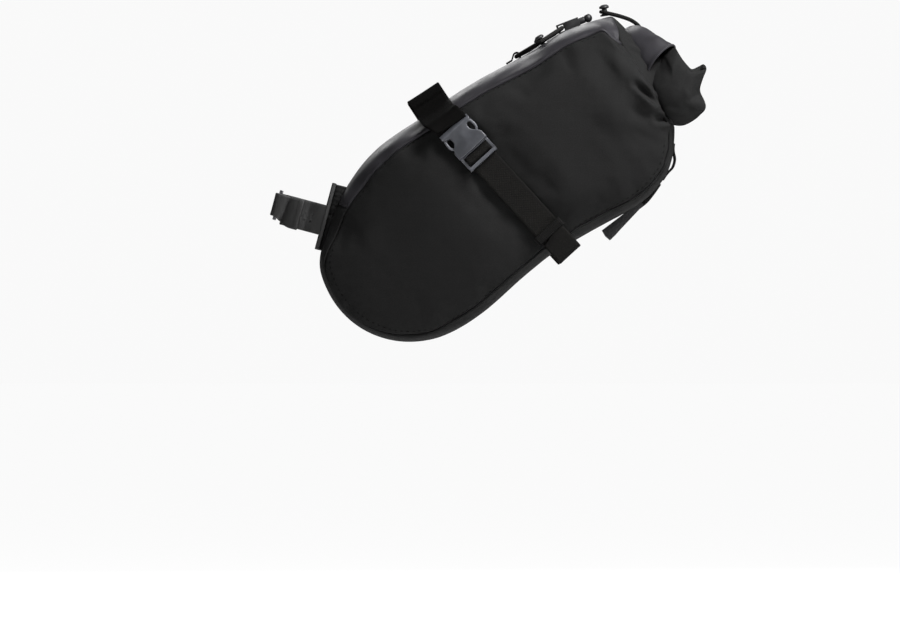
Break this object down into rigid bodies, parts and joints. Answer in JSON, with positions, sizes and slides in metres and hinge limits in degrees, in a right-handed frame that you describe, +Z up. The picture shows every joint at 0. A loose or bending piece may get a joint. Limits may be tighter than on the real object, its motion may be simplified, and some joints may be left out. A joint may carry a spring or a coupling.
{
  "type": "bicycle saddle bag",
  "caption": "Roll-top saddle bag that hangs from saddle rails on quick-release side straps and rests on the seatpost with a padded strap.",
  "frame": {"origin": "centre of the seatpost pad's front face, with the bag at its riding tilt", "axes": "+X towards the rear of the bike, +Y towards the rider's right, +Z up"},
  "size_m": [0.2971, 0.1406, 0.2305],
  "materials": {
    "coated_fabric": "coated, satin",
    "woven_fabric": "matt fine weave",
    "webbing": "woven webbing",
    "cord": "braided cover",
    "grip_rubber": "matt, grippy",
    "acetal": "moulded, satin",
    "stiffener_sheet": "plain sheet",
    "steel": "drawn wire"
  },
  "bodies": {
    "bag": {"left_side_panel": "woven_fabric", "right_side_panel": "woven_fabric", "top_panel": "coated_fabric", "base_gusset": "coated_fabric", "base_stiffener": "stiffener_sheet", "top_stiffener": "stiffener_sheet", "mouth_collar": "woven_fabric", "seatpost_pad_spacer": "woven_fabric", "seatpost_pad": "grip_rubber", "post_strap": "grip_rubber", "post_strap_anchor": "grip_rubber", "post_strap_ring": "steel", "left_buckle_tab": "webbing", "left_buckle_female": "acetal", "left_rail_wrap": "grip_rubber", "left_strap_keeper": "cord", "left_webbing": "webbing", "right_buckle_tab": "webbing", "right_buckle_female": "acetal", "right_rail_wrap": "grip_rubber", "right_strap_keeper": "cord", "right_webbing": "webbing", "left_cord_hook": "acetal", "right_cord_hook": "acetal", "closure_hook": "acetal", "cord_anchor_tab": "webbing", "cord_lock_body": "acetal", "cord_lock_spring": "steel", "shock_cord": "cord", "rear_webbing_tab": "webbing", "rear_light_loop": "webbing"},
    "left_buckle_slider": {"left_buckle_male": "acetal"},
    "left_front_arm": {"left_buckle_arm_front": "acetal"},
    "left_rear_arm": {"left_buckle_arm_rear": "acetal"},
    "right_buckle_slider": {"right_buckle_male": "acetal"},
    "right_front_arm": {"right_buckle_arm_front": "acetal"},
    "right_rear_arm": {"right_buckle_arm_rear": "acetal"},
    "lock_button": {"cord_lock_button": "acetal"},
    "strap_tail": {"post_strap_tail": "grip_rubber"},
    "closure": {"closure_band": "coated_fabric", "left_closure_end": "woven_fabric", "right_closure_end": "woven_fabric", "closure_cord_loop": "cord"},
    "ladder_buckle": {"rear_ladder_buckle": "acetal"}
  },
  "joints": [
    {"name": "left_buckle_slide", "type": "slide", "parent": "bag", "child": "left_buckle_slider", "axis": [0.6733, -0.0828, -0.7347], "range_m": [0, 0.022], "stiffness_N_per_m": 10, "deforming": ["left_webbing", "left_buckle_arm_front", "left_buckle_arm_rear"]},
    {"name": "left_front_arm_squeeze", "type": "hinge", "parent": "left_buckle_slider", "child": "left_front_arm", "pos_m": [0.09383, -0.06597, 0.0425], "axis": [0.0559, 0.9966, -0.061], "range_deg": [0, 6]},
    {"name": "left_rear_arm_squeeze", "type": "hinge", "parent": "left_buckle_slider", "child": "left_rear_arm", "pos_m": [0.10607, -0.06597, 0.05371], "axis": [0.0559, 0.9966, -0.061], "range_deg": [-6, 0]},
    {"name": "right_buckle_slide", "type": "slide", "parent": "bag", "child": "right_buckle_slider", "axis": [0.6733, 0.0828, -0.7347], "range_m": [0, 0.022], "stiffness_N_per_m": 10, "deforming": ["right_webbing", "right_buckle_arm_front", "right_buckle_arm_rear"]},
    {"name": "right_front_arm_squeeze", "type": "hinge", "parent": "right_buckle_slider", "child": "right_front_arm", "pos_m": [0.09383, 0.06597, 0.0425], "axis": [-0.0559, 0.9966, 0.061], "range_deg": [0, 6]},
    {"name": "right_rear_arm_squeeze", "type": "hinge", "parent": "right_buckle_slider", "child": "right_rear_arm", "pos_m": [0.10607, 0.06597, 0.05371], "axis": [-0.0559, 0.9966, 0.061], "range_deg": [-6, 0]},
    {"name": "cord_lock_press", "type": "slide", "parent": "bag", "child": "lock_button", "axis": [-0.932, 0, -0.3624], "range_m": [0, 0.003], "stiffness_N_per_m": 150, "deforming": ["cord_lock_spring"]},
    {"name": "post_strap_peel", "type": "hinge", "parent": "bag", "child": "strap_tail", "pos_m": [-0.03136, -0.0075, 0.00737], "axis": [-0.2588, 0, -0.9659], "range_deg": [0, 95]},
    {"name": "closure_swing", "type": "hinge", "parent": "bag", "child": "closure", "pos_m": [0.2365, 0, 0.0625], "axis": [0, 1, 0], "range_deg": [0, 35], "deforming": ["mouth_collar", "closure_cord_loop"]},
    {"name": "ladder_buckle_swing", "type": "hinge", "parent": "bag", "child": "ladder_buckle", "pos_m": [0.217, 0, 0.0076], "axis": [0, -1, 0], "range_deg": [0, 70], "stiffness_Nm_per_rad": 0.004}
  ],
  "couplings": [
    {"joint": "left_rear_arm_squeeze", "follows": "left_front_arm_squeeze", "ratio": -1},
    {"joint": "right_rear_arm_squeeze", "follows": "right_front_arm_squeeze", "ratio": -1}
  ]
}
